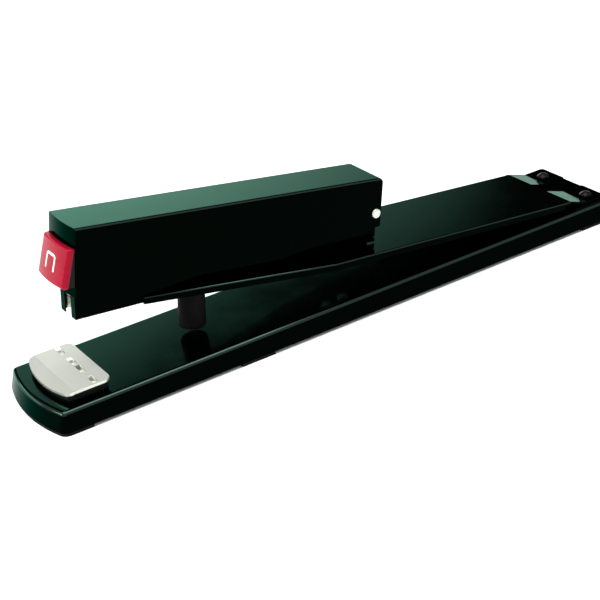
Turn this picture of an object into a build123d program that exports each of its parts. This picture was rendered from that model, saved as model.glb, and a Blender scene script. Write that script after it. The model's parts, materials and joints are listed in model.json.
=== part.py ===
from build123d import *
import os
from math import atan, cos, degrees, radians, sin, sqrt

# Long-arm desk stapler, in millimetres.
# X runs across the stapler, Y along it with the nose at -Y, and Z is up from the desk.

# base pan
BASE_WIDTH = 56.0
BASE_FRONT = -155.0
BASE_TIP = -160.0
BASE_REAR = 160.0
BASE_TOP = 10.5
SKIRT_BOTTOM = 1.5
SKIRT_DRAFT = 2.3
SHEET = 1.2
BASE_FRONT_CORNER = 4.4
BASE_REAR_CORNER = 6.5
BASE_EDGE = 2.2

# rubber feet
FRONT_FOOT_END = -141.1
MIDDLE_FOOT = (-67.2, -49.6)
REAR_FOOT = (136.4, 154.4)
SOLE_INSET = 0.2
SOLE_WIDTH = 8.8
PLUG_WIDTH = 7.0
PLUG_INSET = 1.6

# anvil
ANVIL_HALF = 20.5
ANVIL_REAR = -126.8
ANVIL_FRONT = -147.5
ANVIL_TIP = -151.5
ANVIL_CORNER = 3.5
ANVIL_BEND = -144.6
ANVIL_DROP = 1.3
ANVIL_TOP = 15.2
ANVIL_BLOCK_INSET = 1.0
GROOVE_Y = -133.9
GROOVE_CENTRES = (-16.0, -4.2, 4.2, 16.0)
GROOVE_LENGTH = 7.0
GROOVE_DEPTH = 0.85
GROOVE_WIDTH = 2.4
ANVIL_RIVET_X = 12.0
ANVIL_RIVET_Y = -137.6
ANVIL_RIVET_R = 1.8
RIVET_HEAD_R = 3.2
RIVET_HEAD_H = 1.1

# rear hinge: the arm's sprung legs flex about the lower bend
HINGE_Y = 143.4
HINGE_Z = 14.9
BEND_INNER = 2.0
BEND_OUTER = BEND_INNER + SHEET
BEND_GAP = 5.3
ARM_RISE = 5.74
LEG_SLOPE = 12.0
LEG_INNER_X = 6.0
LEG_OUTER_X = 24.0
LEG_FOOT_END = 155.4
SPACER_HALF = 24.7
SPACER_Y = (134.8, 156.4)
SCREW_X = 16.2
SCREW_Y = 149.1
SCREW_R = 1.5
SCREW_HOLE_R = 1.65
SCREW_HEAD_R = 3.1
SCREW_HEAD_H = 1.5
SCREW_END = 4.2
NUT_R = 3.3
NUT_H = 2.4

# arm, in its own level frame: u forward from the hinge axis, v up from it
ARM_TOP = 0.4
ARM_HALF = 24.5
ARM_START = 12.0
FLANGE_START = 15.0
TAPER_START = 155.0
ARM_END = 245.6
ARM_END_HALF = 8.4
FLANGE_BOTTOM = -3.0
ARM_EDGE = 1.0

# magazine in the arm's front slot
MAG_REAR = 148.0
MAG_SHEET = 0.5
MAG_HALF = 7.0
MAG_INNER = MAG_HALF - MAG_SHEET
MAG_BOTTOM = -2.7
MAG_FLOOR = MAG_BOTTOM + MAG_SHEET
MAG_WALL_TOP = 7.0
MAG_NOSE_TOP = 10.0
MAG_NOSE_REAR = 262.0
MAG_NOSE_RISE = 254.0
MAG_FLOOR_END = 271.5
NOSE_FRONT = 277.8
NOSE_FLANGE = 4.0

# staples, guide rod and pusher
STRIP_U = (226.0, 275.7)
STRIP_HALF = 6.35
WIRE = 0.5
STAPLE_LEG = 6.0
ROD_R = 1.2
ROD_V = -0.1
ROD_END = 268.0
ROD_HEAD_R = 2.0
ROD_HEAD_ROOM = 2.0
SADDLE_HALF = 1.0
SADDLE_LENGTH = 6.0
PUSHER_U = (214.0, 225.9)
PUSHER_HALF = 6.2
PUSHER_BOTTOM = -2.0
PUSHER_TOP = 4.4
PUSHER_TAB_TOP = 8.6
PUSHER_TAB_HALF = 2.5
RUNNING_GAP = 0.05
PUSHER_SPRING_R = 1.75
PUSHER_SPRING_WIRE = 0.3
PUSHER_SPRING_TURNS = 20

# head pivot
PIN_U = 125.5
PIN_V = 15.1
PIN_R = 1.4
PIN_HEAD_R = 2.4
PIN_HEAD_H = 1.0
EAR_R = 2.5
BRACKET_OUTER = 11.2
BRACKET_U = (129.0, 147.0)
EAR_TOP_FRONT = 9.0
WASHER_R = 2.5
WASHER_T = 0.6
BRACKET_RIVET_U = (133.0, 142.5)
BRACKET_RIVET_X = 7.0
BRACKET_RIVET_R = 1.5
TORSION_R = 3.1
TORSION_WIRE = 0.6
TORSION_TURNS = 7
TORSION_HALF = 6.0
LOWER_LEG_END = (20.0, -12.8)
UPPER_LEG_END = (28.0, 14.6)

# return buffer hanging under the arm
BUFFER_U = 217.8
BUFFER_R = 6.4
BUFFER_WALL = 1.0
BUFFER_FOOT = -23.6
BUFFER_EDGE = 1.4
SEAT_H = 1.2
SEAT_SPIGOT_R = 3.0
SEAT_SPIGOT_H = 1.6
RETURN_SPRING_R = 4.2
RETURN_SPRING_WIRE = 0.7
RETURN_SPRING_TURNS = 5

# head cover, in its own level frame measured from the pivot pin
COVER_RISE = 3.36
COVER_HALF = 13.0
COVER_SHEET = 1.0
COVER_FRONT_SHEET = 0.8
COVER_TOP = 16.85
COVER_REAR = -3.8
COVER_FRONT = 153.6
COVER_BULGE = 1.2
COVER_BOTTOM = -14.0
COVER_STEP = ((-3.8, -6.6), (-0.4, -7.1), (-0.4, -11.4), (0.7, -11.8), (-0.4, -12.3), (-0.6, -14.0))
REAR_WALL_BOTTOM = 4.0
COVER_REAR_ROUND = 2.5
COVER_EDGE = 1.3

# red cap, a pillow-shaped plate leaning out at the bottom on a black wedge
CAP_TOP = 7.9
CAP_BOTTOM = -9.7
CAP_HALF = 12.7
CAP_BACK_TOP = 154.0
CAP_BACK_BOTTOM = 157.0
CAP_THICK = 2.3
CAP_BULGE = 1.4
CAP_SIDE_ROUND = 2.0
CAP_RIM_ROUND = 1.0
WEDGE_HALF = 12.5
WEDGE_BOTTOM = -9.2

# driver
BLADE_U = (150.4, 150.9)
BLADE_HALF = 6.2
BLADE_BOTTOM = -17.9
BLADE_TOP = 6.0
HOLDER_HALF = 8.0
HOLDER_REAR = 138.0
HOLDER_BOTTOM = -3.0
HOLDER_SHEET = 1.5
DRIVER_RIVET_X = 3.5
DRIVER_RIVET_V = 2.0
DRIVER_RIVET_R = 1.0
DRIVER_RIVET_HEAD_R = 1.8
DRIVER_RIVET_HEAD_H = 0.6

X_AXIS = (1, 0, 0)
PIN_Y = HINGE_Y - PIN_U
PIN_Z = HINGE_Z + PIN_V


def on_arm(shape):
    """Raise a shape drawn level about the hinge axis to the arm's rest angle."""
    return shape.rotate(Axis((0, HINGE_Y, HINGE_Z), X_AXIS), -ARM_RISE)


def on_cover(shape):
    """Raise a shape drawn level about the pin to the cover's rest angle on the arm."""
    return on_arm(shape.rotate(Axis((0, PIN_Y, PIN_Z), X_AXIS), -COVER_RISE))


def arm_yz(u, v):
    return HINGE_Y - u, HINGE_Z + v


def cover_yz(u, v):
    return PIN_Y - u, PIN_Z + v


def side_prism(yz_points, x0, x1):
    """A side profile of (y, z) points, carried across from x0 to x1."""
    edge = Polyline(*[(x0, y, z) for y, z in yz_points], close=True)
    return extrude(make_face(edge), amount=x1 - x0, dir=X_AXIS)


def arm_prism(uv_points, x0, x1):
    return side_prism([arm_yz(u, v) for u, v in uv_points], x0, x1)


def cover_prism(uv_points, x0, x1):
    return side_prism([cover_yz(u, v) for u, v in uv_points], x0, x1)


def plan_prism(xy_points, z0, z1):
    """A plan outline of (x, y) points, raised from z0 to z1."""
    edge = Polyline(*[(x, y, z0) for x, y in xy_points], close=True)
    return extrude(make_face(edge), amount=z1 - z0, dir=(0, 0, 1))


def block(x_range, y_range, z_range):
    """A box between two corners."""
    spans = [high - low for low, high in (x_range, y_range, z_range)]
    middle = [(low + high) / 2 for low, high in (x_range, y_range, z_range)]
    return Pos(*middle) * Box(*spans)


def arm_block(x_range, u_range, v_range):
    y0, z0 = arm_yz(u_range[1], v_range[0])
    y1, z1 = arm_yz(u_range[0], v_range[1])
    return block(x_range, (y0, y1), (z0, z1))


def cover_block(x_range, u_range, v_range):
    y0, z0 = cover_yz(u_range[1], v_range[0])
    y1, z1 = cover_yz(u_range[0], v_range[1])
    return block(x_range, (y0, y1), (z0, z1))


def upright(x, y, z0, z1, radius):
    """A vertical cylinder."""
    return Pos(x, y, (z0 + z1) / 2) * Cylinder(radius, z1 - z0)


def across(x0, x1, y, z, radius):
    """A cylinder along X."""
    return Pos((x0 + x1) / 2, y, z) * Rot(0, 90, 0) * Cylinder(radius, x1 - x0)


def along(x, y0, y1, z, radius):
    """A cylinder along Y."""
    return Pos(x, (y0 + y1) / 2, z) * Rot(90, 0, 0) * Cylinder(radius, y1 - y0)


def mirrored_pair(shape):
    """A right-hand shape together with its left-hand twin."""
    return Compound(children=[shape, mirror(shape, about=Plane.YZ)])


def joined(shapes):
    return Compound(children=list(shapes))


def dome(x, y, z, radius, height, up):
    """A shallow round head standing on, or hanging from, the height z."""
    sphere_r = (radius ** 2 + height ** 2) / (2 * height)
    side = 1 if up else -1
    ball = Pos(x, y, z + side * (height - sphere_r)) * Sphere(sphere_r)
    keep = Pos(x, y, z + side * height / 2) * Cylinder(radius + 1, height)
    return ball & keep


def bowed_plan(half, front, tip, rear, front_round, rear_round):
    """A rectangle with a bowed front end and rounded corners."""
    bow = ThreePointArc((-half, front), (0, tip), (half, front))
    sides = Polyline((half, front), (half, rear), (-half, rear), (-half, front))
    face = make_face([bow, *sides.edges()])
    corners = face.vertices().sort_by(Axis.Y)
    face = fillet(corners[:2], front_round)
    corners = face.vertices().sort_by(Axis.Y)
    return fillet(corners[-2:], rear_round)


def base_plan(inset):
    return bowed_plan(
        BASE_WIDTH / 2 - inset,
        BASE_FRONT + inset,
        BASE_TIP + inset,
        BASE_REAR - inset,
        max(BASE_FRONT_CORNER - inset, 0.5),
        max(BASE_REAR_CORNER - inset, 0.5),
    )


def raised(face, z0, z1):
    return extrude(Pos(0, 0, z0) * face, amount=z1 - z0)


def top_edges(solid, z):
    return solid.edges().filter_by_position(Axis.Z, z - 0.01, z + 0.01)


def pan(inset, low, high):
    """The pan's block between two heights, drawn in towards the top on every side."""
    lean = SKIRT_DRAFT / (BASE_TOP - SKIRT_BOTTOM)
    plan = base_plan(inset + lean * (low - SKIRT_BOTTOM))
    return extrude(Pos(0, 0, low) * plan, amount=high - low, taper=degrees(atan(lean)))


def base_shell():
    """Pressed steel pan with drafted sides, open underneath, with its top edge rolled over."""
    outer = pan(0, SKIRT_BOTTOM, BASE_TOP)
    outer = fillet(top_edges(outer, BASE_TOP), BASE_EDGE)
    shell = outer - pan(SHEET, SKIRT_BOTTOM - 1, BASE_TOP - SHEET)
    for side in (-1, 1):
        shell -= upright(side * ANVIL_RIVET_X, ANVIL_RIVET_Y, 0, BASE_TOP + 1, ANVIL_RIVET_R)
        shell -= upright(side * SCREW_X, SCREW_Y, 0, BASE_TOP + 1, SCREW_HOLE_R)
    return shell


def foot(y_range, sole_reach, plug_reach):
    """A rubber sole under the skirt with its glued plug up inside the pan."""
    outer = BASE_WIDTH / 2
    sole = raised(base_plan(SOLE_INSET), 0, SKIRT_BOTTOM)
    sole &= block((outer - sole_reach, outer), y_range, (0, BASE_TOP))
    plug = pan(PLUG_INSET, SKIRT_BOTTOM, BASE_TOP - SHEET)
    plug &= block((outer - plug_reach, outer), y_range, (0, BASE_TOP))
    return sole + plug


def front_foot():
    return foot((BASE_TIP - 1, FRONT_FOOT_END), BASE_WIDTH, BASE_WIDTH)


def foot_pair(y_range):
    return mirrored_pair(foot(y_range, SOLE_WIDTH, PLUG_WIDTH))


def anvil_plan(inset):
    return bowed_plan(
        ANVIL_HALF - inset,
        ANVIL_FRONT + inset,
        ANVIL_TIP + inset,
        ANVIL_REAR - inset,
        ANVIL_CORNER - inset,
        ANVIL_CORNER - inset,
    )


def anvil_profile(rear, low_rear, low_front, drop_low, drop_high):
    return [
        (rear, low_rear),
        (rear, ANVIL_TOP - drop_high),
        (ANVIL_BEND, ANVIL_TOP - drop_high),
        (ANVIL_TIP - 1, ANVIL_TOP - drop_high - ANVIL_DROP),
        (ANVIL_TIP - 1, low_front),
        (ANVIL_BEND, drop_low),
    ]


def anvil_plate():
    """Nickelled plate with its front lip bent down and four clinching grooves."""
    rear = ANVIL_REAR + 1
    low = ANVIL_TOP - SHEET
    profile = anvil_profile(rear, low, low - ANVIL_DROP, low, 0)
    plate = side_prism(profile, -ANVIL_HALF, ANVIL_HALF)
    plate &= raised(anvil_plan(0), BASE_TOP, ANVIL_TOP + 1)
    half_chord = GROOVE_LENGTH / 2
    groove_r = (half_chord ** 2 + GROOVE_DEPTH ** 2) / (2 * GROOVE_DEPTH)
    for x in GROOVE_CENTRES:
        y0 = GROOVE_Y - GROOVE_WIDTH / 2
        y1 = GROOVE_Y + GROOVE_WIDTH / 2
        plate -= along(x, y0, y1, ANVIL_TOP - GROOVE_DEPTH + groove_r, groove_r)
    return plate


def anvil_block():
    """Black block that lifts the anvil plate off the base."""
    rear = ANVIL_REAR + 1
    profile = anvil_profile(rear, BASE_TOP, BASE_TOP, BASE_TOP, SHEET)
    body = side_prism(profile, -ANVIL_HALF, ANVIL_HALF)
    body &= raised(anvil_plan(ANVIL_BLOCK_INSET), BASE_TOP, ANVIL_TOP)
    for side in (-1, 1):
        top = ANVIL_TOP - SHEET - 1
        body -= upright(side * ANVIL_RIVET_X, ANVIL_RIVET_Y, 0, top, ANVIL_RIVET_R)
    return body


def anvil_rivets():
    top = ANVIL_TOP - SHEET - 1
    under = BASE_TOP - SHEET
    shank = upright(ANVIL_RIVET_X, ANVIL_RIVET_Y, under, top, ANVIL_RIVET_R)
    head = dome(ANVIL_RIVET_X, ANVIL_RIVET_Y, under, RIVET_HEAD_R, RIVET_HEAD_H, False)
    return mirrored_pair(shank + head)


def hinge_spacer():
    """Flat plate between the base and the arm's feet."""
    plate = block((-SPACER_HALF, SPACER_HALF), SPACER_Y, (BASE_TOP, BASE_TOP + SHEET))
    for side in (-1, 1):
        plate -= upright(side * SCREW_X, SCREW_Y, 0, BASE_TOP + 2 * SHEET, SCREW_HOLE_R)
    return plate


def arm_feet():
    """The flat ends of the arm's two legs, clamped by the screws."""
    low = BASE_TOP + SHEET
    foot = block((LEG_INNER_X, LEG_OUTER_X), (HINGE_Y, LEG_FOOT_END), (low, low + SHEET))
    foot = fillet(foot.edges().filter_by(Axis.Z).sort_by(Axis.Y)[-2:], 2)
    foot -= upright(SCREW_X, SCREW_Y, 0, low + 2 * SHEET, SCREW_HOLE_R)
    return mirrored_pair(foot)


def hinge_screws():
    seat = BASE_TOP + 2 * SHEET
    shank = upright(SCREW_X, SCREW_Y, SCREW_END, seat, SCREW_R)
    head = dome(SCREW_X, SCREW_Y, seat, SCREW_HEAD_R, SCREW_HEAD_H, True)
    return mirrored_pair(shank + head)


def hinge_nuts():
    top = BASE_TOP - SHEET
    hexagon = Pos(SCREW_X, SCREW_Y, top - NUT_H) * RegularPolygon(NUT_R, 6)
    nut = extrude(hexagon, amount=NUT_H) - upright(SCREW_X, SCREW_Y, 0, top, SCREW_R)
    return mirrored_pair(nut)


def arm_outline(inset, overrun):
    """Half plan of the arm, mirrored: straight sides that taper under the head."""
    slope = (ARM_HALF - ARM_END_HALF) / (ARM_END - TAPER_START)
    side_shift = inset * sqrt(1 + slope ** 2)
    corner_u = TAPER_START - inset * slope / 2
    end_half = ARM_END_HALF - side_shift - slope * overrun
    half_points = [
        (ARM_HALF - inset, ARM_START - overrun),
        (ARM_HALF - inset, corner_u),
        (end_half, ARM_END + overrun),
    ]
    right = [(x, HINGE_Y - u) for x, u in half_points]
    left = [(-x, y) for x, y in reversed(right)]
    return right + left


def leg(x0, x1):
    """One sprung leg from x0 to x1: a short bend about the hinge axis, then the ramp."""
    slope = radians(LEG_SLOPE)
    start = BEND_GAP - ARM_RISE
    middle = (start + LEG_SLOPE) / 2
    ramp_run = (ARM_TOP + BEND_INNER * cos(slope)) / sin(slope)
    under_run = (ARM_TOP - SHEET + BEND_OUTER * cos(slope)) / sin(slope)

    def at(u, v):
        return (x0, *arm_yz(u, v))

    def on_bend(radius, angle):
        return at(radius * sin(radians(angle)), -radius * cos(radians(angle)))

    def ramp_u(radius, run):
        return radius * sin(slope) + run * cos(slope)

    def on_ramp(radius, run):
        return at(ramp_u(radius, run), run * sin(slope) - radius * cos(slope))

    plate_end = ramp_u(BEND_INNER, ramp_run) + 2 * SHEET
    outer = ThreePointArc(*[on_bend(BEND_OUTER, angle) for angle in (start, middle, LEG_SLOPE)])
    inner = ThreePointArc(*[on_bend(BEND_INNER, angle) for angle in (start, middle, LEG_SLOPE)])
    ramp = Polyline(
        on_bend(BEND_OUTER, LEG_SLOPE),
        on_ramp(BEND_OUTER, under_run),
        at(plate_end, ARM_TOP - SHEET),
        at(plate_end, ARM_TOP),
        on_ramp(BEND_INNER, ramp_run),
        on_bend(BEND_INNER, LEG_SLOPE),
    )
    root = Line(on_bend(BEND_INNER, start), on_bend(BEND_OUTER, start))
    face = make_face([outer, *ramp.edges(), inner, root])
    return extrude(face, amount=x1 - x0, dir=X_AXIS)


def arm_channel():
    """Pressed arm: flat top, turned-down sides, sprung legs and a slot for the magazine."""
    low = HINGE_Z + FLANGE_BOTTOM
    top = HINGE_Z + ARM_TOP
    arm = plan_prism(arm_outline(0, 0), low, top)
    long_edges = [e for e in top_edges(arm, top) if abs(e.center().X) > ARM_EDGE]
    arm = fillet(long_edges, ARM_EDGE)
    arm -= plan_prism(arm_outline(SHEET, 5), low - 1, top - SHEET)
    wide = (-2 * ARM_HALF, 2 * ARM_HALF)
    arm -= arm_block(wide, (ARM_START - 5, FLANGE_START), (FLANGE_BOTTOM - 1, ARM_TOP - SHEET))
    slot = (MAG_REAR - ROD_HEAD_ROOM, ARM_END + 1)
    arm -= arm_block((-MAG_HALF, MAG_HALF), slot, (FLANGE_BOTTOM - 1, ARM_TOP + 1))
    for side in (-1, 1):
        x0, x1 = sorted((side * LEG_INNER_X, side * LEG_OUTER_X))
        arm += leg(x0, x1)
        for u in BRACKET_RIVET_U:
            y = HINGE_Y - u
            arm -= upright(side * BRACKET_RIVET_X, y, low, top + 1, BRACKET_RIVET_R)
    return arm


def ear_profile():
    """Side profile of one bracket ear below its round end, in cover coordinates."""
    foot = ARM_TOP - PIN_V
    rear = BRACKET_U[0] - PIN_U
    front = BRACKET_U[1] - PIN_U
    return [(-EAR_R, 0), (0, EAR_R), (EAR_TOP_FRONT, 0), (front, foot), (rear, foot)]


def head_bracket():
    """U-shaped bracket: a base on the arm and two ears that carry the pivot pin."""
    base = arm_block((-BRACKET_OUTER, BRACKET_OUTER), BRACKET_U, (ARM_TOP, ARM_TOP + SHEET))
    for side in (-1, 1):
        for u in BRACKET_RIVET_U:
            y = HINGE_Y - u
            base -= upright(side * BRACKET_RIVET_X, y, 0, 2 * HINGE_Z, BRACKET_RIVET_R)
    inner = BRACKET_OUTER - SHEET
    for x0, x1 in ((-BRACKET_OUTER, -inner), (inner, BRACKET_OUTER)):
        ear = cover_prism(ear_profile(), x0, x1) + across(x0, x1, PIN_Y, PIN_Z, EAR_R)
        base += ear - across(x0 - 1, x1 + 1, PIN_Y, PIN_Z, PIN_R)
    return base


def bracket_rivets():
    """Four rivets that hold the bracket on the arm."""
    under = HINGE_Z + ARM_TOP - SHEET
    seat = HINGE_Z + ARM_TOP + SHEET
    rivets = []
    for side in (-1, 1):
        for u in BRACKET_RIVET_U:
            x = side * BRACKET_RIVET_X
            y = HINGE_Y - u
            rivet = upright(x, y, under, seat, BRACKET_RIVET_R)
            rivet += dome(x, y, seat, BRACKET_RIVET_R + 1, 1, True)
            rivet += dome(x, y, under, BRACKET_RIVET_R + 1, 1, False)
            rivets.append(rivet)
    return joined(rivets)


def magazine_channel():
    """Folded channel for the staples, with tall cheeks and in-turned flanges at the nose.

    The nose is open underneath, and between its flanges, where the driver passes.
    """
    side = [
        (MAG_REAR, MAG_BOTTOM),
        (NOSE_FRONT, MAG_BOTTOM),
        (NOSE_FRONT, MAG_NOSE_TOP),
        (MAG_NOSE_REAR, MAG_NOSE_TOP),
        (MAG_NOSE_RISE, MAG_WALL_TOP),
        (MAG_REAR, MAG_WALL_TOP),
    ]
    channel = arm_prism(side, -MAG_HALF, MAG_HALF)
    inner = (-MAG_INNER, MAG_INNER)
    above = MAG_NOSE_TOP + 1
    below = MAG_BOTTOM - 1
    inside_front = NOSE_FRONT - MAG_SHEET
    channel -= arm_block(inner, (MAG_REAR + MAG_SHEET, inside_front), (MAG_FLOOR, above))
    channel -= arm_block(inner, (MAG_FLOOR_END, inside_front), (below, above))
    slot = MAG_HALF - NOSE_FLANGE
    channel -= arm_block((-slot, slot), (MAG_FLOOR_END, NOSE_FRONT + 1), (below, above))
    rod_y0, rod_z = arm_yz(MAG_REAR + 1, ROD_V)
    channel -= along(0, rod_y0, rod_y0 + 2, rod_z, ROD_R)
    return channel


def staple_strip():
    """Glued strip of staples standing on its legs."""
    top = MAG_FLOOR + STAPLE_LEG
    strip = arm_block((-STRIP_HALF, STRIP_HALF), STRIP_U, (MAG_FLOOR, top))
    inner = STRIP_HALF - WIRE
    return strip - arm_block((-inner, inner), (0, NOSE_FRONT), (MAG_FLOOR - 1, top - WIRE))


def guide_rod():
    """Rod for the pusher, headed behind the rear wall and propped near its tip."""
    tip_y, z = arm_yz(ROD_END, ROD_V)
    rear_y = HINGE_Y - MAG_REAR
    rod = along(0, tip_y, rear_y, z, ROD_R)
    rod += along(0, rear_y, rear_y + 1, z, ROD_HEAD_R)
    saddle_u = (ROD_END - SADDLE_LENGTH, ROD_END)
    return rod + arm_block((-SADDLE_HALF, SADDLE_HALF), saddle_u, (MAG_FLOOR, ROD_V))


def pusher():
    """Follower that straddles the rod and presses on the staples."""
    body = arm_block((-PUSHER_HALF, PUSHER_HALF), PUSHER_U, (PUSHER_BOTTOM, PUSHER_TOP))
    tab_u = (PUSHER_U[0] + 1, PUSHER_U[0] + 5)
    tab = arm_block((-PUSHER_TAB_HALF, PUSHER_TAB_HALF), tab_u, (PUSHER_TOP, PUSHER_TAB_TOP))
    body += fillet(tab.edges().filter_by(Axis.X).sort_by(Axis.Z)[-2:], 1)
    front_y, z = arm_yz(PUSHER_U[1] + 1, ROD_V)
    rear_y = HINGE_Y - PUSHER_U[0] + 1
    body -= along(0, front_y, rear_y, z, ROD_R + RUNNING_GAP)
    throat = SADDLE_HALF + 0.2
    return body - arm_block((-throat, throat), (0, NOSE_FRONT), (PUSHER_BOTTOM - 1, ROD_V))


def coil(length, radius, wire_r, turns):
    """A round-wire compression spring standing on the origin along Z."""
    usable = length - 2 * wire_r
    path = Helix(pitch=usable / turns, height=usable, radius=radius)
    start = Plane(origin=path @ 0, z_dir=path % 0)
    return Pos(0, 0, wire_r) * sweep(start * Circle(wire_r), path=path, is_frenet=True)


def pusher_spring():
    """Compression spring round the guide rod behind the pusher."""
    rear_u = MAG_REAR + MAG_SHEET + RUNNING_GAP
    y, z = arm_yz(rear_u, ROD_V)
    length = PUSHER_U[0] - RUNNING_GAP - rear_u
    spring = coil(length, PUSHER_SPRING_R, PUSHER_SPRING_WIRE, PUSHER_SPRING_TURNS)
    return Pos(0, y, z) * Rot(90, 0, 0) * spring


def pivot_pin():
    """Cross pin through the ears and the cover, headed on both sides."""
    reach = COVER_HALF + 0.15
    pin = across(-reach, reach, PIN_Y, PIN_Z, PIN_R)
    for side in (-1, 1):
        x0, x1 = sorted((side * reach, side * (reach + PIN_HEAD_H)))
        head = across(x0, x1, PIN_Y, PIN_Z, PIN_HEAD_R)
        rim = head.edges().filter_by(GeomType.CIRCLE).sort_by(Axis.X)
        pin += fillet(rim[-1] if side > 0 else rim[0], 0.6)
    return pin


def pivot_washers():
    x0 = BRACKET_OUTER
    washer = across(x0, x0 + WASHER_T, PIN_Y, PIN_Z, WASHER_R)
    return mirrored_pair(washer - across(x0 - 1, x0 + 2, PIN_Y, PIN_Z, PIN_R))


def wire_leg(start, end, wire_r):
    """A straight round wire between two points, with round ends."""
    direction = Vector(*end) - Vector(*start)
    base = Plane(origin=start, z_dir=direction)
    rod = extrude(base * Circle(wire_r), amount=direction.length)
    return rod + Pos(*start) * Sphere(wire_r) + Pos(*end) * Sphere(wire_r)


def cover_spring():
    """Torsion spring round the pin: one leg on the bracket, one up under the cover."""
    turns = Pos(-TORSION_HALF, PIN_Y, PIN_Z) * Rot(0, 90, 0) * coil(
        2 * TORSION_HALF, TORSION_R, TORSION_WIRE, TORSION_TURNS)
    reach = TORSION_HALF - TORSION_WIRE
    low_y, low_z = cover_yz(*LOWER_LEG_END)
    high_y, high_z = cover_yz(*UPPER_LEG_END)
    lower_start = (-reach, PIN_Y, PIN_Z - TORSION_R)
    upper_start = (reach, PIN_Y, PIN_Z - TORSION_R)
    turns += wire_leg(lower_start, (-reach, low_y, low_z), TORSION_WIRE)
    return turns + wire_leg(upper_start, (reach, high_y, high_z), TORSION_WIRE)


def buffer_axis():
    return HINGE_Y - BUFFER_U


def buffer_seat():
    """Seat under the magazine with a spigot for the return spring."""
    top = HINGE_Z + MAG_BOTTOM
    y = buffer_axis()
    seat = upright(0, y, top - SEAT_H, top, BUFFER_R)
    return seat + upright(0, y, top - SEAT_H - SEAT_SPIGOT_H, top - SEAT_H, SEAT_SPIGOT_R)


def spring_boot():
    """Soft rubber cup round the return spring."""
    top = HINGE_Z + MAG_BOTTOM - SEAT_H
    foot = HINGE_Z + BUFFER_FOOT
    y = buffer_axis()
    cup = upright(0, y, foot, top, BUFFER_R)
    cup = fillet(cup.edges().filter_by(GeomType.CIRCLE).sort_by(Axis.Z)[0], BUFFER_EDGE)
    return cup - upright(0, y, foot + BUFFER_WALL, top + 1, BUFFER_R - BUFFER_WALL)


def return_spring():
    top = HINGE_Z + MAG_BOTTOM - SEAT_H
    foot = HINGE_Z + BUFFER_FOOT + BUFFER_WALL
    spring = coil(top - foot, RETURN_SPRING_R, RETURN_SPRING_WIRE, RETURN_SPRING_TURNS)
    return Pos(0, buffer_axis(), foot) * spring


def cover_plan(half, front, bulge, rear):
    """Plan of the cover, bowed at the front, as a tall prism."""
    y_front, _ = cover_yz(front, 0)
    y_rear, _ = cover_yz(rear, 0)
    bow = ThreePointArc((-half, y_front), (0, y_front - bulge), (half, y_front))
    sides = Polyline((half, y_front), (half, y_rear), (-half, y_rear), (-half, y_front))
    return raised(make_face([bow, *sides.edges()]), -HINGE_Z, 4 * PIN_Z)


def cover_blank():
    """The cover before it is hollowed out."""
    front = COVER_FRONT + 2 * COVER_BULGE
    profile = [(COVER_REAR, COVER_TOP), (front, COVER_TOP), (front, COVER_BOTTOM)]
    profile += reversed(COVER_STEP)
    solid = cover_prism(profile, -COVER_HALF, COVER_HALF)
    return solid & cover_plan(COVER_HALF, COVER_FRONT, COVER_BULGE, COVER_REAR)


def head_cover():
    """Pressed steel head cover, open underneath and at the back below the pin."""
    cover = cover_blank()
    _, top_z = cover_yz(0, COVER_TOP)
    rear_y, _ = cover_yz(COVER_REAR, 0)
    top = top_edges(cover, top_z)
    rear_edge = top.filter_by(Axis.X).sort_by(Axis.Y)[-1]
    cover = fillet(rear_edge, COVER_REAR_ROUND)
    cover = fillet(cover.edges().group_by(Axis.Z)[-1].filter_by(Axis.Y), COVER_EDGE)
    inner = COVER_HALF - COVER_SHEET
    rear = COVER_REAR + COVER_SHEET
    front = COVER_FRONT + 2 * COVER_BULGE
    below = COVER_BOTTOM - 1
    behind = COVER_REAR - 1
    ceiling = COVER_TOP - COVER_SHEET
    hollow_side = [
        (rear, ceiling),
        (front, ceiling),
        (front, below),
        (behind, below),
        (behind, REAR_WALL_BOTTOM),
        (rear, REAR_WALL_BOTTOM),
    ]
    hollow = cover_prism(hollow_side, -inner, inner)
    inner_front = COVER_FRONT - COVER_FRONT_SHEET
    hollow &= cover_plan(inner, inner_front, COVER_BULGE, COVER_REAR - 1)
    cover -= hollow
    return cover - across(-front, front, PIN_Y, PIN_Z, PIN_R + RUNNING_GAP)


def leaning_slab(half, front_top, front_bottom, bottom):
    """A slab with a bowed front that leans out towards its bottom edge."""
    lean = (front_bottom - front_top) / (CAP_TOP - CAP_BOTTOM)
    front = front_bottom + lean * (CAP_BOTTOM - bottom)
    y_front, z_bottom = cover_yz(front, bottom)
    y_back, _ = cover_yz(COVER_FRONT - 1, 0)
    corners = (-half, y_front), (0, y_front - CAP_BULGE), (half, y_front)
    sides = Polyline((half, y_front), (half, y_back), (-half, y_back), (-half, y_front))
    outline = Pos(0, 0, z_bottom) * make_face([ThreePointArc(*corners), *sides.edges()])
    rise = CAP_TOP - bottom
    slope = Vector(0, lean, 1)
    return extrude(outline, amount=rise * slope.length, dir=slope)


def cap_seat():
    """Black wedge between the cover's front and the red cap."""
    wedge = leaning_slab(WEDGE_HALF, CAP_BACK_TOP, CAP_BACK_BOTTOM, WEDGE_BOTTOM)
    return wedge - cover_blank()


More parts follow.
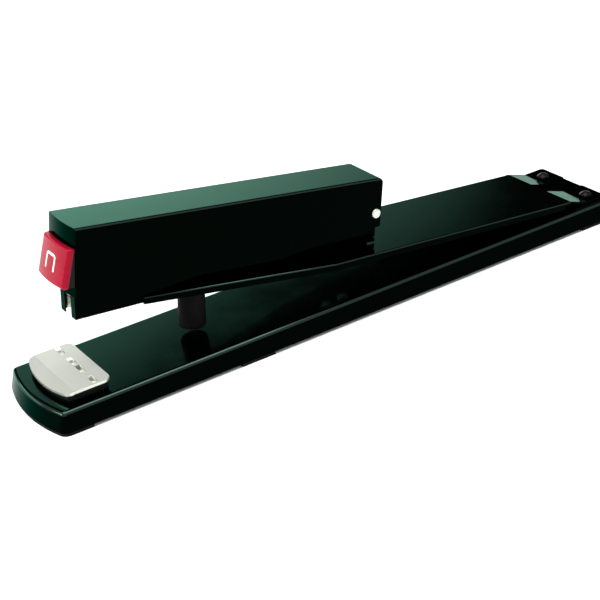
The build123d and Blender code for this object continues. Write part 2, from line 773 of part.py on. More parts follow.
def front_cap():
    """Red plastic plate on the front of the head, rounded over at its edges."""
    top = CAP_BACK_TOP + CAP_THICK
    bottom = CAP_BACK_BOTTOM + CAP_THICK
    slab = leaning_slab(CAP_HALF, top, bottom, CAP_BOTTOM)
    front = slab.faces().sort_by(Axis.Y)[0]
    sides = [edge for edge in front.edges() if abs(edge.center().X) > CAP_HALF / 2]
    slab = fillet(sides, CAP_SIDE_ROUND)
    front = slab.faces().sort_by(Axis.Y)[0]
    rims = front.edges().sort_by(Axis.Z)
    slab = fillet([rims[0], rims[-1]], CAP_RIM_ROUND)
    return slab - leaning_slab(CAP_HALF, CAP_BACK_TOP, CAP_BACK_BOTTOM, CAP_BOTTOM)


def driver_rivet_span(overrun):
    """Y from the front of the blade to the back of its holder, and the rivets' height."""
    front, z = cover_yz(BLADE_U[1], DRIVER_RIVET_V)
    back, _ = cover_yz(BLADE_U[0] - HOLDER_SHEET, DRIVER_RIVET_V)
    return front - overrun, back + overrun, z


def driver_rivet_holes():
    y0, y1, z = driver_rivet_span(1)
    return mirrored_pair(along(DRIVER_RIVET_X, y0, y1, z, DRIVER_RIVET_R))


def driver_blade():
    """Thin plate that pushes one staple at a time down through the nose."""
    blade = cover_block((-BLADE_HALF, BLADE_HALF), BLADE_U, (BLADE_BOTTOM, BLADE_TOP))
    return blade - driver_rivet_holes()


def driver_holder():
    """Bent bracket under the cover's top that carries the blade."""
    front = BLADE_U[0]
    ceiling = COVER_TOP - COVER_SHEET
    wide = (-HOLDER_HALF, HOLDER_HALF)
    upright_u = (front - HOLDER_SHEET, front)
    holder = cover_block(wide, upright_u, (HOLDER_BOTTOM, ceiling))
    top_v = (ceiling - HOLDER_SHEET, ceiling)
    holder += cover_block(wide, (HOLDER_REAR, front), top_v)
    return holder - driver_rivet_holes()


def driver_rivets():
    """Two rivets that clamp the blade on its holder."""
    y0, y1, z = driver_rivet_span(0)
    height = DRIVER_RIVET_HEAD_H
    rivet = along(DRIVER_RIVET_X, y0, y1, z, DRIVER_RIVET_R)
    rivet += along(DRIVER_RIVET_X, y0 - height, y0, z, DRIVER_RIVET_HEAD_R)
    rivet += along(DRIVER_RIVET_X, y1, y1 + height, z, DRIVER_RIVET_HEAD_R)
    return mirrored_pair(rivet)


BASE_PARTS = {
    "base_shell": base_shell(),
    "front_foot": front_foot(),
    "middle_feet": foot_pair(MIDDLE_FOOT),
    "rear_feet": foot_pair(REAR_FOOT),
    "anvil_block": anvil_block(),
    "anvil_plate": anvil_plate(),
    "anvil_rivets": anvil_rivets(),
    "hinge_spacer": hinge_spacer(),
    "arm_feet": arm_feet(),
    "hinge_screws": hinge_screws(),
    "hinge_nuts": hinge_nuts(),
}
ARM_PARTS = {
    "arm_channel": arm_channel(),
    "head_bracket": head_bracket(),
    "bracket_rivets": bracket_rivets(),
    "magazine_channel": magazine_channel(),
    "staple_strip": staple_strip(),
    "guide_rod": guide_rod(),
    "pusher": pusher(),
    "pusher_spring": pusher_spring(),
    "pivot_pin": pivot_pin(),
    "pivot_washers": pivot_washers(),
    "cover_spring": cover_spring(),
    "buffer_seat": buffer_seat(),
    "spring_boot": spring_boot(),
    "return_spring": return_spring(),
}
COVER_PARTS = {
    "head_cover": head_cover(),
    "cap_seat": cap_seat(),
    "front_cap": front_cap(),
    "driver_blade": driver_blade(),
    "driver_holder": driver_holder(),
    "driver_rivets": driver_rivets(),
}

os.makedirs("parts", exist_ok=True)
for name, shape in BASE_PARTS.items():
    export_step(shape, f"parts/{name}.step")
for name, shape in ARM_PARTS.items():
    export_step(on_arm(shape), f"parts/{name}.step")
for name, shape in COVER_PARTS.items():
    export_step(on_cover(shape), f"parts/{name}.step")
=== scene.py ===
import json
import math

import bmesh
import bpy
from mathutils import Matrix, Vector

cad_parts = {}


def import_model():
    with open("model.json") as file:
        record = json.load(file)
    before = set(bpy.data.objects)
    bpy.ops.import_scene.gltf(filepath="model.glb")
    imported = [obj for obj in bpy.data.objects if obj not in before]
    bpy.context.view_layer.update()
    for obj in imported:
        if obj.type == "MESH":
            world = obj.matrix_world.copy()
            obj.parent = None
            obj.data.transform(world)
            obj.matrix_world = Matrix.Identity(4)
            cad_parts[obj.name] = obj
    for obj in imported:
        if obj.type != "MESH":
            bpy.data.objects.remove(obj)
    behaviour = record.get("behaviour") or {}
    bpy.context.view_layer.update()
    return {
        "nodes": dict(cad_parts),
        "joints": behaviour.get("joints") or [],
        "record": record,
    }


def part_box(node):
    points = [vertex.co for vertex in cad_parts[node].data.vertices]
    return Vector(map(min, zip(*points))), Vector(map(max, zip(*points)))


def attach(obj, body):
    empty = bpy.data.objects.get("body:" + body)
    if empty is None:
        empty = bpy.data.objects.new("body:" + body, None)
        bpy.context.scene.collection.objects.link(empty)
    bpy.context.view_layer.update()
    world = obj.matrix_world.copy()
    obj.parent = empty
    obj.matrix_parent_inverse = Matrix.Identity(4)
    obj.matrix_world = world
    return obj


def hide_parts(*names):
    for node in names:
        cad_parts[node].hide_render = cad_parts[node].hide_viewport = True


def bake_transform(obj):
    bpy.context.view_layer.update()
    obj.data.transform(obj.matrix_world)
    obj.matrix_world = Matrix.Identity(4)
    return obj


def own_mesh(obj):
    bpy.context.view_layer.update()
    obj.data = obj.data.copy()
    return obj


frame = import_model()
NODES = frame["nodes"]
JOINTS = {joint["name"]: joint for joint in frame["joints"]}
MM = 0.001

# directions of the arm at rest, along which the pusher slides, and of the closed cover
ACROSS = Vector((1, 0, 0))
ARM_BACK = Vector(JOINTS["pusher_slide"]["axis"]).normalized()
ARM_UP = ACROSS.cross(ARM_BACK)
ARM_LEAN = math.asin(ARM_UP.y)
PIN = Vector(JOINTS["head_pivot"]["pos_m"])
COVER_RISE = math.radians(JOINTS["head_pivot"]["range_deg"][1])
COVER_TURN = Matrix.Rotation(-COVER_RISE, 3, "X")
COVER_BACK = COVER_TURN @ ARM_BACK
COVER_UP = COVER_TURN @ ARM_UP


def box_middle(node):
    low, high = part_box(node)
    return (Vector(low) + Vector(high)) / 2


def box_size(node):
    low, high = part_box(node)
    return Vector(high) - Vector(low)


# ---------------------------------------------------------------- node helpers

class Shader:
    """A material's node tree with short calls for the nodes that it uses."""

    def __init__(self, name):
        self.material = bpy.data.materials.new(name)
        self.material.use_nodes = True
        self.tree = self.material.node_tree
        self.principled = self.tree.nodes["Principled BSDF"]
        self.coordinates = self.node("ShaderNodeTexCoord").outputs["Object"]

    def node(self, kind, **settings):
        made = self.tree.nodes.new(kind)
        for key, value in settings.items():
            setattr(made, key, value)
        return made

    def link(self, source, target):
        self.tree.links.new(source, target)

    def set(self, **sockets):
        for key, value in sockets.items():
            self.principled.inputs[key.replace("_", " ")].default_value = value

    def stretched(self, scale):
        """Object coordinates with their own scale along each axis."""
        mapping = self.node("ShaderNodeMapping")
        mapping.inputs["Scale"].default_value = scale
        self.link(self.coordinates, mapping.inputs["Vector"])
        return mapping.outputs["Vector"]

    def noise(self, scale, detail=3.0, vector=None):
        texture = self.node("ShaderNodeTexNoise")
        texture.inputs["Scale"].default_value = scale
        texture.inputs["Detail"].default_value = detail
        self.link(vector or self.coordinates, texture.inputs["Vector"])
        return texture.outputs["Fac"]

    def remap(self, value, low, high, start=0.3, end=0.7):
        """Goes from low to high as the value goes from start to end, a noise's middle part."""
        ranged = self.node("ShaderNodeMapRange")
        ranged.inputs["From Min"].default_value = start
        ranged.inputs["From Max"].default_value = end
        ranged.inputs["To Min"].default_value = low
        ranged.inputs["To Max"].default_value = high
        self.link(value, ranged.inputs["Value"])
        return ranged.outputs["Result"]

    def colours(self, value, dark, light):
        """Goes from the dark shade to the light one as the value goes from 0 to 1."""
        mix = self.node("ShaderNodeMix", data_type="RGBA")
        mix.inputs["A"].default_value = (*dark, 1)
        mix.inputs["B"].default_value = (*light, 1)
        self.link(value, mix.inputs["Factor"])
        return mix.outputs["Result"]

    def base_colour(self, value, dark, light):
        """Spreads the base colour between two shades."""
        self.link(self.colours(value, dark, light), self.principled.inputs["Base Color"])

    def roughness(self, value, low, high):
        """Spreads the roughness between two values."""
        self.link(self.remap(value, low, high), self.principled.inputs["Roughness"])

    def bump(self, height, distance, strength=1.0):
        """Adds a bump layer on top of those already there."""
        layer = self.node("ShaderNodeBump")
        layer.inputs["Distance"].default_value = distance
        layer.inputs["Strength"].default_value = strength
        self.link(height, layer.inputs["Height"])
        normal = self.principled.inputs["Normal"]
        if normal.is_linked:
            self.link(normal.links[0].from_socket, layer.inputs["Normal"])
        self.link(layer.outputs["Normal"], normal)


# ---------------------------------------------------------------- materials

PAINT_DARK = (0.0003, 0.0009, 0.0006)
PAINT_LIGHT = (0.0006, 0.0016, 0.0011)
# painted highlight: a lighter base on the rolled edges, so the lamps show there as bright lines
EDGE_HIGHLIGHT_BASE = (0.024, 0.040, 0.035)
# painted shade: upright faces get a weaker, greyer reflection tint than the tops
SHADED_SIDES_GLINT = (0.50, 0.58, 0.55)
LIT_TOPS_GLINT = (0.66, 0.97, 0.84)

# how far up a face looks, between sideways 0 and straight up 1, where the painted edge highlight
# and the painted shade of upright faces change
EDGES_FROM = (0.36, 0.50)
EDGES_TO = (0.90, 0.96)
TOPS_FROM = (0.28, 0.36)


def black_paint():
    """Glossy dark green-black enamel: almost black face on, green where light grazes it.

    The metallic model is used for its coloured edge reflection; the base is near black, and
    lighter on the rolled edges, a painted highlight that makes the lamps show there as bright
    lines. Upright faces get a weaker reflection tint than the tops, a painted shade.
    """
    paint = Shader("black_paint")
    patches = paint.colours(paint.noise(14, 4), PAINT_DARK, PAINT_LIGHT)
    facing = paint.node("ShaderNodeSeparateXYZ")
    paint.link(paint.node("ShaderNodeTexCoord").outputs["Normal"], facing.inputs["Vector"])
    upward = facing.outputs["Z"]
    # painted highlight on the rolled edges, the faces between upright and flat
    rolled = paint.node("ShaderNodeMath", operation="MULTIPLY")
    paint.link(paint.remap(upward, 0, 1, *EDGES_FROM), rolled.inputs[0])
    paint.link(paint.remap(upward, 1, 0, *EDGES_TO), rolled.inputs[1])
    highlighted_edges = paint.node("ShaderNodeMix", data_type="RGBA")
    paint.link(rolled.outputs["Value"], highlighted_edges.inputs["Factor"])
    paint.link(patches, highlighted_edges.inputs["A"])
    highlighted_edges.inputs["B"].default_value = (*EDGE_HIGHLIGHT_BASE, 1)
    paint.link(highlighted_edges.outputs["Result"], paint.principled.inputs["Base Color"])
    # painted shade: the reflection tint falls from that of the tops to the weaker one of upright
    # faces
    level = paint.remap(upward, 0, 1, *TOPS_FROM)
    tint = paint.colours(level, SHADED_SIDES_GLINT, LIT_TOPS_GLINT)
    paint.link(tint, paint.principled.inputs["Specular Tint"])
    paint.roughness(paint.noise(60, 5), 0.09, 0.14)
    paint.bump(paint.noise(900, 2), 0.00002, 0.35)
    paint.set(Metallic=1.0)
    return paint.material


def black_moulding():
    """Dull black plastic."""
    block = Shader("black_block")
    block.base_colour(block.noise(30), (0.002, 0.003, 0.003), (0.005, 0.006, 0.006))
    block.roughness(block.noise(300), 0.45, 0.6)
    block.bump(block.noise(1500, 2), 0.00003)
    block.set(IOR=1.3, Specular_IOR_Level=0.3)
    return block.material


def black_rubber():
    """Matt black rubber with a fine grain."""
    rubber = Shader("black_rubber")
    rubber.base_colour(rubber.noise(40), (0.0015, 0.0015, 0.0015), (0.004, 0.004, 0.004))
    rubber.roughness(rubber.noise(120), 0.55, 0.75)
    rubber.bump(rubber.noise(2200, 2), 0.00004)
    rubber.set(IOR=1.3, Specular_IOR_Level=0.2)
    return rubber.material


def red_cap():
    """Glossy crimson moulding with slight flow marks."""
    red = Shader("red_cap")
    red.base_colour(red.noise(35), (0.24, 0.0004, 0.012), (0.30, 0.0006, 0.018))
    red.roughness(red.noise(90), 0.24, 0.34)
    red.bump(red.noise(700, 2), 0.00002, 0.3)
    red.set(IOR=1.3, Specular_IOR_Level=0.3)
    return red.material


def nickel():
    """Nickel plate with faint rolling lines along the stapler and soft cloudy wear."""
    plate = Shader("nickel")
    lines = plate.noise(1, 3, plate.stretched((2500, 60, 2500)))
    plate.base_colour(plate.noise(70, 5), (0.60, 0.63, 0.56), (0.74, 0.77, 0.69))
    plate.roughness(lines, 0.30, 0.42)
    plate.bump(lines, 0.00001, 0.5)
    plate.set(Metallic=1.0)
    return plate.material


def steel(name, dark, light):
    """Drawn or rolled steel: fine lines along its length, with a little staining."""
    metal = Shader(name)
    lines = metal.noise(1, 3, metal.stretched((2500, 80, 2500)))
    metal.base_colour(metal.noise(110, 4), dark, light)
    metal.roughness(lines, 0.25, 0.4)
    metal.bump(lines, 0.00001, 0.5)
    metal.set(Metallic=1.0)
    return metal.material


def black_screw():
    """Blackened screw heads, smooth enough for small highlights."""
    screw = Shader("black_screw")
    screw.base_colour(screw.noise(200), (0.002, 0.002, 0.002), (0.007, 0.007, 0.007))
    screw.roughness(screw.noise(500), 0.10, 0.16)
    screw.set(IOR=1.3, Specular_IOR_Level=0.15)
    return screw.material


def white_print():
    """Pad-printed white ink, slightly uneven."""
    ink = Shader("white_print")
    ink.base_colour(ink.noise(600), (0.70, 0.66, 0.66), (0.86, 0.83, 0.83))
    ink.roughness(ink.noise(900), 0.45, 0.6)
    ink.bump(ink.noise(2500, 2), 0.00001)
    return ink.material


MATERIALS = {
    "black_paint": black_paint(),
    "black_block": black_moulding(),
    "black_rubber": black_rubber(),
    "red_cap": red_cap(),
    "nickel": nickel(),
    "bright_steel": steel("bright_steel", (0.42, 0.42, 0.34), (0.68, 0.68, 0.56)),
    "spring_steel": steel("spring_steel", (0.14, 0.14, 0.15), (0.26, 0.26, 0.27)),
    "black_screw": black_screw(),
    "white_print": white_print(),
}
COVER_BEVEL = 0.4 * MM


def dress_cad_nodes():
    """Gives every CAD node the material of its slot, and breaks the cover's sharp edges."""
    for row in frame["record"]["subparts"]:
        node = NODES[row["node"]]
        node.data.materials.clear()
        node.data.materials.append(MATERIALS[row["material_slot"]])
    cover_edges = NODES["head_cover"].modifiers.new("edges", "BEVEL")
    cover_edges.width = COVER_BEVEL
    cover_edges.segments = 2
    cover_edges.limit_method = "ANGLE"
    cover_edges.angle_limit = math.radians(60)
    cover_edges.harden_normals = True


dress_cad_nodes()


# ---------------------------------------------------------------- mesh helpers

TURNED_SIDES = 64
COIL_STEPS = 28
WIRE_SIDES = 10


def ring_faces(rings, sides):
    """Quads between neighbouring rings of vertices, with a flat face on each end."""
    faces = []
    for ring in range(rings - 1):
        for side in range(sides):
            following = (side + 1) % sides
            low = ring * sides
            high = low + sides
            faces.append((low + side, low + following, high + following, high + side))
    faces.append(tuple(reversed(range(sides))))
    faces.append(tuple(range((rings - 1) * sides, rings * sides)))
    return faces


def sweep(path, section):
    """Carries a closed section of (side, up) points along a path without twisting it."""
    tangents = []
    last = len(path) - 1
    for i in range(len(path)):
        tangents.append((path[min(i + 1, last)] - path[max(i - 1, 0)]).normalized())
    side = tangents[0].orthogonal().normalized()
    vertices = []
    for point, tangent in zip(path, tangents):
        side = (side - tangent * side.dot(tangent)).normalized()
        up = tangent.cross(side)
        vertices += [point + side * a + up * b for a, b in section]
    return vertices, ring_faces(len(path), len(section))


def circle(radius, sides):
    steps = [2 * math.pi * i / sides for i in range(sides)]
    return [(radius * math.cos(step), radius * math.sin(step)) for step in steps]


def turned(profile, centre, axis):
    """A turned solid: (radius, height) points from the foot's middle to the top's middle."""
    side = axis.orthogonal().normalized()
    other = axis.cross(side)
    spokes = [side * c + other * s for c, s in circle(1, TURNED_SIDES)]
    vertices = []
    for radius, height in profile:
        vertices += [centre + axis * height + spoke * radius for spoke in spokes]
    return vertices, ring_faces(len(profile), TURNED_SIDES)


def helix(centre, axis, radius, length, turns, steps_per_turn=COIL_STEPS):
    """Points of a coil that stands on its centre point along the axis."""
    side = ACROSS
    other = axis.cross(side)
    points = []
    steps = int(turns * steps_per_turn)
    for i in range(steps + 1):
        angle = 2 * math.pi * turns * i / steps
        around = side * math.cos(angle) + other * math.sin(angle)
        points.append(centre + around * radius + axis * (length * i / steps))
    return points


def arc(centre, radius, first, last, steps):
    """(x, y) points on an arc between two angles in degrees."""
    angles = [math.radians(first + (last - first) * i / steps) for i in range(steps + 1)]
    return [(centre[0] + radius * math.cos(a), centre[1] + radius * math.sin(a)) for a in angles]


def piece(name, parts, material, crease=40):
    """One mesh object from several (vertices, faces) parts, smooth except at creases."""
    vertices = []
    faces = []
    for part_vertices, part_faces in parts:
        base = len(vertices)
        vertices += part_vertices
        faces += [tuple(base + i for i in face) for face in part_faces]
    mesh = bpy.data.meshes.new(name)
    mesh.from_pydata(vertices, [], faces)
    mesh.materials.append(MATERIALS[material])
    work = bmesh.new()
    work.from_mesh(mesh)
    bmesh.ops.recalc_face_normals(work, faces=work.faces)
    work.to_mesh(mesh)
    work.free()
    mesh.shade_smooth()
    mesh.set_sharp_from_angle(angle=math.radians(crease))
    made = bpy.data.objects.new(name, mesh)
    bpy.context.scene.collection.objects.link(made)
    return made


# ---------------------------------------------------------------- return buffer under the arm

BUFFER_WALL = 1.0 * MM
BUFFER_EDGE = 1.6 * MM
BUFFER_LIP = 0.35 * MM
BUFFER_TAPER = 0.15 * MM
BUFFER_NECK = 0.25 * MM
RETURN_WIRE = 0.7 * MM
RETURN_TURNS = 5


def buffer_frame():
    """Foot point, radius and length of the rubber cup, from its tilted CAD box."""
    size = box_size("spring_boot")
    radius = size.x / 2
    length = (size.z - 2 * radius * math.sin(ARM_LEAN)) / math.cos(ARM_LEAN)
    foot = box_middle("spring_boot") - ARM_UP * length / 2
    return foot, radius, length


def spring_boot():
    """Rubber cup with a rounded foot and a soft lip below its seat."""
    foot, radius, length = buffer_frame()
    inner = radius - BUFFER_WALL
    corner = radius - BUFFER_EDGE
    profile = [(0.0, 0.0), (corner * 0.9, 0.0)]
    profile += arc((corner, BUFFER_EDGE), BUFFER_EDGE, -90, 0, 8)
    lip_start = length - 4 * BUFFER_LIP
    profile += [(radius - BUFFER_TAPER, lip_start), (radius - BUFFER_NECK, lip_start + BUFFER_LIP)]
    profile += arc((radius - BUFFER_LIP, length - BUFFER_LIP), BUFFER_LIP, -40, 90, 6)
    profile += [(inner, length), (inner, BUFFER_WALL), (0.0, BUFFER_WALL)]
    boot = piece("boot_sleeve", [turned(profile, foot, ARM_UP)], "black_rubber")
    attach(boot, "arm")
    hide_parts("spring_boot")
    squash_with_arm(boot)


def return_spring():
    """Open coil spring inside the boot."""
    foot, _, length = buffer_frame()
    coil_radius = box_size("return_spring").x / 2 - RETURN_WIRE
    base = foot + ARM_UP * (BUFFER_WALL + RETURN_WIRE)
    rise = length - BUFFER_WALL - 2 * RETURN_WIRE
    path = helix(base, ARM_UP, coil_radius, rise, RETURN_TURNS)
    parts = [sweep(path, circle(RETURN_WIRE, WIRE_SIDES))]
    coil = piece("return_coil", parts, "spring_steel")
    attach(coil, "arm")
    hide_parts("return_spring")
    squash_with_arm(coil)


def squash_with_arm(soft):
    """Gives a buffer piece its own copy of its mesh."""
    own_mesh(soft)


spring_boot()
return_spring()


# ---------------------------------------------------------------- other springs

PUSHER_WIRE = 0.3 * MM
PUSHER_TURNS = 24
PUSHER_STEPS = 20
PUSHER_WIRE_SIDES = 8
TORSION_TURNS = 7

# millimetres from the pin, as cover_point takes them
TORSION_WIRE = 0.6
TORSION_RADIUS = 3.1
BRACKET_LEG_END = (20.0, -12.8)
COVER_LEG_END = (28.0, 14.6)


def pusher_spring():
    """Fine coil round the guide rod."""
    size = box_size("pusher_spring")
    coil_radius = size.x / 2 - PUSHER_WIRE
    length = (size.y - size.x * math.sin(ARM_LEAN)) / math.cos(ARM_LEAN)
    rear = box_middle("pusher_spring") + ARM_BACK * length / 2
    base = rear - ARM_BACK * PUSHER_WIRE
    rise = length - 2 * PUSHER_WIRE
    path = helix(base, -ARM_BACK, coil_radius, rise, PUSHER_TURNS, PUSHER_STEPS)
    parts = [sweep(path, circle(PUSHER_WIRE, PUSHER_WIRE_SIDES))]
    coil = piece("pusher_coil", parts, "spring_steel")
    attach(coil, "arm")
    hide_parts("pusher_spring")
    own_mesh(coil)


def cover_point(x, forward, up):
    """A place in the level frame of the cover, in millimetres from the pin."""
    return PIN + ACROSS * x * MM - COVER_BACK * forward * MM + COVER_UP * up * MM


def cover_spring():
    """Torsion spring round the pin, with one leg reaching to the bracket and one to the cover."""
    half = 5.4
    path = [cover_point(-half, *BRACKET_LEG_END)]
    steps = TORSION_TURNS * COIL_STEPS
    for i in range(steps + 1):
        x = -half + 2 * half * i / steps
        angle = -math.pi / 2 + 2 * math.pi * TORSION_TURNS * i / steps
        forward = TORSION_RADIUS * math.cos(angle)
        up = TORSION_RADIUS * math.sin(angle)
        path.append(cover_point(x, forward, up))
    path.append(cover_point(half, *COVER_LEG_END))
    parts = [sweep(path, circle(TORSION_WIRE * MM, WIRE_SIDES))]
    spring = piece("torsion_coil", parts, "spring_steel")
    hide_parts("cover_spring")
    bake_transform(spring)


pusher_spring()
cover_spring()


# ---------------------------------------------------------------- staples

STAPLE_PITCH = 0.5 * MM
STAPLE_LEG = 6.0 * MM
STAPLE_HALF_WIRE = 0.23 * MM
STAPLE_BEND = 0.5 * MM


def staples():
    """The strip as single staples of square wire, glued side by side."""
    size = box_size("staple_strip")
    length = (size.y - size.z * math.sin(ARM_LEAN)) / math.cos(ARM_LEAN)
    count = int(length / STAPLE_PITCH)
    wire = STAPLE_HALF_WIRE
    half = size.x / 2 - wire
    middle = box_middle("staple_strip")
    front = middle - ARM_BACK * count * STAPLE_PITCH / 2
    base = front - ARM_UP * STAPLE_LEG / 2
    corner_x = half - STAPLE_BEND
    corner_up = STAPLE_LEG - wire - STAPLE_BEND
    outline = [(-half, 0.0)]
    outline += arc((-corner_x, corner_up), STAPLE_BEND, 180, 90, 3)
    outline += arc((corner_x, corner_up), STAPLE_BEND, 90, 0, 3)
    outline += [(half, 0.0)]
    section = [(-wire, -wire), (wire, -wire), (wire, wire), (-wire, wire)]
    parts = []
    for i in range(count):
        place = base + ARM_BACK * (i + 0.5) * STAPLE_PITCH
        path = [place + ACROSS * x + ARM_UP * up for x, up in outline]
        parts.append(sweep(path, section))
    strip = piece("staples", parts, "bright_steel", crease=30)
    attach(strip, "arm")
    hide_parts("staple_strip")


staples()


# ---------------------------------------------------------------- mark on the red cap

MARK_STROKE = 1.1 * MM
MARK_HALF = 3.6 * MM
MARK_LEG = 3.4 * MM
MARK_STEP = 0.4 * MM
MARK_ACROSS = (-0.5, -0.17, 0.17, 0.5)
MARK_PROUD = 0.03 * MM
MARK_SUNK = 0.10 * MM
RAY_START = 20 * MM


def resampled(points, step):
    """Points spaced evenly along a line of straight runs."""
    spaced = [points[0]]
    for first, last in zip(points, points[1:]):
        run = math.dist(first, last)
        count = max(1, round(run / step))
        for i in range(1, count + 1):
            share = i / count
            spaced.append((first[0] + (last[0] - first[0]) * share,
                           first[1] + (last[1] - first[1]) * share))
    return spaced


def normals_of(points):
    """Unit normals at the points of a line."""
    last = len(points) - 1
    normals = []
    for i in range(len(points)):
        before = points[max(i - 1, 0)]
        after = points[min(i + 1, last)]
        run = math.dist(before, after)
        normals.append(((before[1] - after[1]) / run, (after[0] - before[0]) / run))
    return normals


def cap_mark():
    """A small printed staple outline, a generic sign for what the tool takes."""
    cap = NODES["front_cap"]
    eye = box_middle("front_cap") - COVER_BACK * RAY_START
    corner_x = MARK_HALF - MARK_STROKE
    corner_up = MARK_LEG - MARK_STROKE
    outline = [(-MARK_HALF, -MARK_LEG)]
    outline += arc((-corner_x, corner_up), MARK_STROKE, 180, 90, 4)
    outline += arc((corner_x, corner_up), MARK_STROKE, 90, 0, 4)
    outline += [(MARK_HALF, -MARK_LEG)]
    line = resampled(outline, MARK_STEP)
    depsgraph = bpy.context.evaluated_depsgraph_get()
    rings = []
    for (x, up), (side_x, side_up) in zip(line, normals_of(line)):
        outside = []
        inside = []
        for share in MARK_ACROSS:
            shift = share * MARK_STROKE
            place = eye + ACROSS * (x + side_x * shift) + COVER_UP * (up + side_up * shift)
            _, spot, normal, _ = cap.ray_cast(place, COVER_BACK, depsgraph=depsgraph)
            outside.append(spot + normal * MARK_PROUD)
            inside.append(spot - normal * MARK_SUNK)
        rings += outside + inside[::-1]
    faces = ring_faces(len(line), 2 * len(MARK_ACROSS))
    mark = piece("cap_mark", [(rings, faces)], "white_print")
    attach(mark, "cover")


cap_mark()


# ---------------------------------------------------------------- floor, camera and light

FLOOR_REACH = 6.0
CAMERA_PLACE = (0.5387, -0.3413, 0.3360)
CAMERA_AZIMUTH = math.radians(58.995)
CAMERA_ELEVATION = math.radians(27.773)
CAMERA_ROLL = math.radians(-5.403)
CAMERA_LENS = 89.91


def floor():
    """A large pale sheet under the stapler."""
    mesh = bpy.data.meshes.new("floor")
    signs = ((-1, -1), (1, -1), (1, 1), (-1, 1))
    corners = [(x * FLOOR_REACH, y * FLOOR_REACH, 0) for x, y in signs]
    mesh.from_pydata(corners, [], [(0, 1, 2, 3)])
    plane = bpy.data.objects.new("floor", mesh)
    bpy.context.scene.collection.objects.link(plane)
    pale = Shader("floor")
    pale.base_colour(pale.noise(3), (0.86, 0.86, 0.86), (0.88, 0.88, 0.88))
    pale.set(Roughness=0.9, Specular_IOR_Level=0.1)
    mesh.materials.append(pale.material)


def camera():
    """Looks from above, to the right of the nose, and is rolled a little."""
    back = Vector((math.sin(CAMERA_AZIMUTH) * math.cos(CAMERA_ELEVATION),
                   -math.cos(CAMERA_AZIMUTH) * math.cos(CAMERA_ELEVATION),
                   math.sin(CAMERA_ELEVATION)))
    level_right = Vector((math.cos(CAMERA_AZIMUTH), math.sin(CAMERA_AZIMUTH), 0))
    level_up = back.cross(level_right)
    right = math.cos(CAMERA_ROLL) * level_right + math.sin(CAMERA_ROLL) * level_up
    up = math.cos(CAMERA_ROLL) * level_up - math.sin(CAMERA_ROLL) * level_right
    data = bpy.data.cameras.new("camera")
    data.lens = CAMERA_LENS
    data.sensor_width = 36
    data.clip_start = 0.01
    view = bpy.data.objects.new("camera", data)
    turn = Matrix((right, up, back)).transposed().to_4x4()
    view.matrix_world = Matrix.Translation(CAMERA_PLACE) @ turn
    bpy.context.scene.collection.objects.link(view)
    bpy.context.scene.camera = view


def softbox(name, place, target, size, watts):
    """A rectangular area light at one place, aimed at another."""
    data = bpy.data.lights.new(name, "AREA")
    data.shape = "RECTANGLE"
    data.size, data.size_y = size
    data.energy = watts
    lamp = bpy.data.objects.new(name, data)
    lamp.location = place
    aim = Vector(target) - Vector(place)
    lamp.rotation_euler = aim.to_track_quat("-Z", "Y").to_euler()
    bpy.context.scene.collection.objects.link(lamp)


def direction_to(azimuth, elevation):
    """Unit direction from -X towards +Y by the azimuth, and up by the elevation, in degrees."""
    turn = math.radians(azimuth)
    rise = math.radians(elevation)
    return (-math.cos(turn) * math.cos(rise), math.sin(turn) * math.cos(rise), math.sin(rise))


def direction_across(low, high):
    """Unit direction square to an edge through two (azimuth, elevation) directions."""
    across = Vector(direction_to(*low)).cross(Vector(direction_to(*high))).normalized()
    return across if across.dot(Vector(direction_to(0, 10))) > 0 else -across


class Sky:
    """The world's node tree: values that depend only on the direction looked in."""

    def __init__(self, name):
        self.world = bpy.data.worlds.new(name)
        self.world.use_nodes = True
        self.tree = self.world.node_tree
        self.direction = self.tree.nodes.new("ShaderNodeTexCoord").outputs["Generated"]

    def along(self, axis):
        """How far the direction goes along an axis, from -1 to 1."""
        product = self.tree.nodes.new("ShaderNodeVectorMath")
        product.operation = "DOT_PRODUCT"
        product.inputs[1].default_value = axis
        self.tree.links.new(self.direction, product.inputs[0])
        return product.outputs["Value"]

    def ramp(self, value, span, levels, smooth=True):
        """Goes from one level to the other as the value crosses the span."""
        ranged = self.tree.nodes.new("ShaderNodeMapRange")
        ranged.interpolation_type = "SMOOTHSTEP" if smooth else "LINEAR"
        ranged.inputs["From Min"].default_value = span[0]
        ranged.inputs["From Max"].default_value = span[1]
        ranged.inputs["To Min"].default_value = levels[0]
        ranged.inputs["To Max"].default_value = levels[1]
        self.tree.links.new(value, ranged.inputs["Value"])
        return ranged.outputs["Result"]

    def combine(self, operation, first, second):
        """Adds or multiplies two values."""
        made = self.tree.nodes.new("ShaderNodeMath")
        made.operation = operation
        self.tree.links.new(first, made.inputs[0])
        self.tree.links.new(second, made.inputs[1])
        return made.outputs["Value"]

    def shine(self, radiance):
        """Makes this the scene's world, with the given radiance."""
        background = self.tree.nodes["Background"]
        self.tree.links.new(radiance, background.inputs["Color"])
        bpy.context.scene.world = self.world


# (azimuth, elevation) directions in degrees, as direction_to takes them
BRIGHT_SIDE = (-47, 0)
REARWARD = (90, 0)
PANEL_EDGE = ((24.9, 28.6), (27.8, 27.1))
PANEL_MIDDLE = (33, 24)

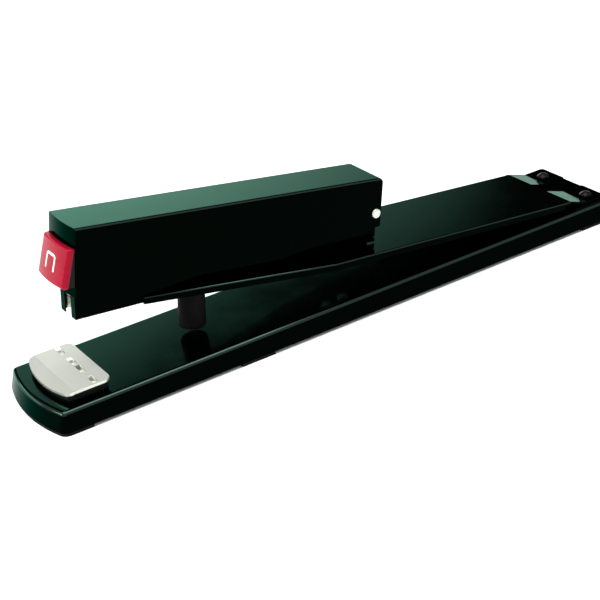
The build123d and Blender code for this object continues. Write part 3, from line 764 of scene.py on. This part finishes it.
# spans along one of those directions or of height, and the radiance at their two ends
FADE_SPAN = (0.0, 0.38)
FADE_LEVELS = (0.0, 2.55)
REAR_SPAN = (-0.05, 0.15)
BACKDROP_SPAN = (0.268, 0.308)
BACKDROP_LEVELS = (0.55, 0.0)
PANEL_SPAN = (-0.008, 0.012)
PANEL_LEVELS = (0.0, 0.70)
PANEL_TOP_SPAN = (0.60, 0.70)
ROOM_SPAN = (0.45, 0.80)
ROOM_LEVELS = (0.9, 0.01)
ROOM_FOOT_SPAN = (0.0, 0.25)
ROOM_FOOT_LEVELS = (0.3, 1.0)


def world():
    """As the camera sees it, a pale backdrop and a soft panel behind and to the left.

    The two fade out together towards the right. The backdrop is low, and the panel above it
    is cut off along a leaning right edge. A soft room round them is dark only at the panel.
    """
    sky = Sky("studio")
    height = sky.along((0, 0, 1))
    fade = sky.ramp(sky.along(direction_to(*BRIGHT_SIDE)), FADE_SPAN, FADE_LEVELS, smooth=False)
    rear_half = sky.ramp(sky.along(direction_to(*REARWARD)), REAR_SPAN, (0, 1))
    fade = sky.combine("MULTIPLY", fade, rear_half)
    backdrop = sky.ramp(height, BACKDROP_SPAN, BACKDROP_LEVELS)
    panel = sky.ramp(sky.along(direction_across(*PANEL_EDGE)), PANEL_SPAN, PANEL_LEVELS)
    panel = sky.combine("MULTIPLY", panel, sky.ramp(height, PANEL_TOP_SPAN, (1, 0)))
    room = sky.ramp(sky.along(direction_to(*PANEL_MIDDLE)), ROOM_SPAN, ROOM_LEVELS)
    room_foot = sky.ramp(height, ROOM_FOOT_SPAN, ROOM_FOOT_LEVELS)
    room = sky.combine("MULTIPLY", room, room_foot)
    lit = sky.combine("MULTIPLY", fade, sky.combine("ADD", backdrop, panel))
    sky.shine(sky.combine("ADD", room, lit))


floor()
camera()
world()
softbox("overhead", (0.0, 0.0, 1.3), target=(0, 0, 0), size=(1.0, 1.2), watts=20)
softbox("front_fill", (-0.35, -1.4, 0.75), target=(0, -0.1, 0.03), size=(0.9, 0.6), watts=17)
softbox("front_left", (-1.20, -0.95, 0.33), target=(0, -0.1, 0.03), size=(0.7, 0.35), watts=2.5)
bpy.context.scene.view_settings.view_transform = "Standard"
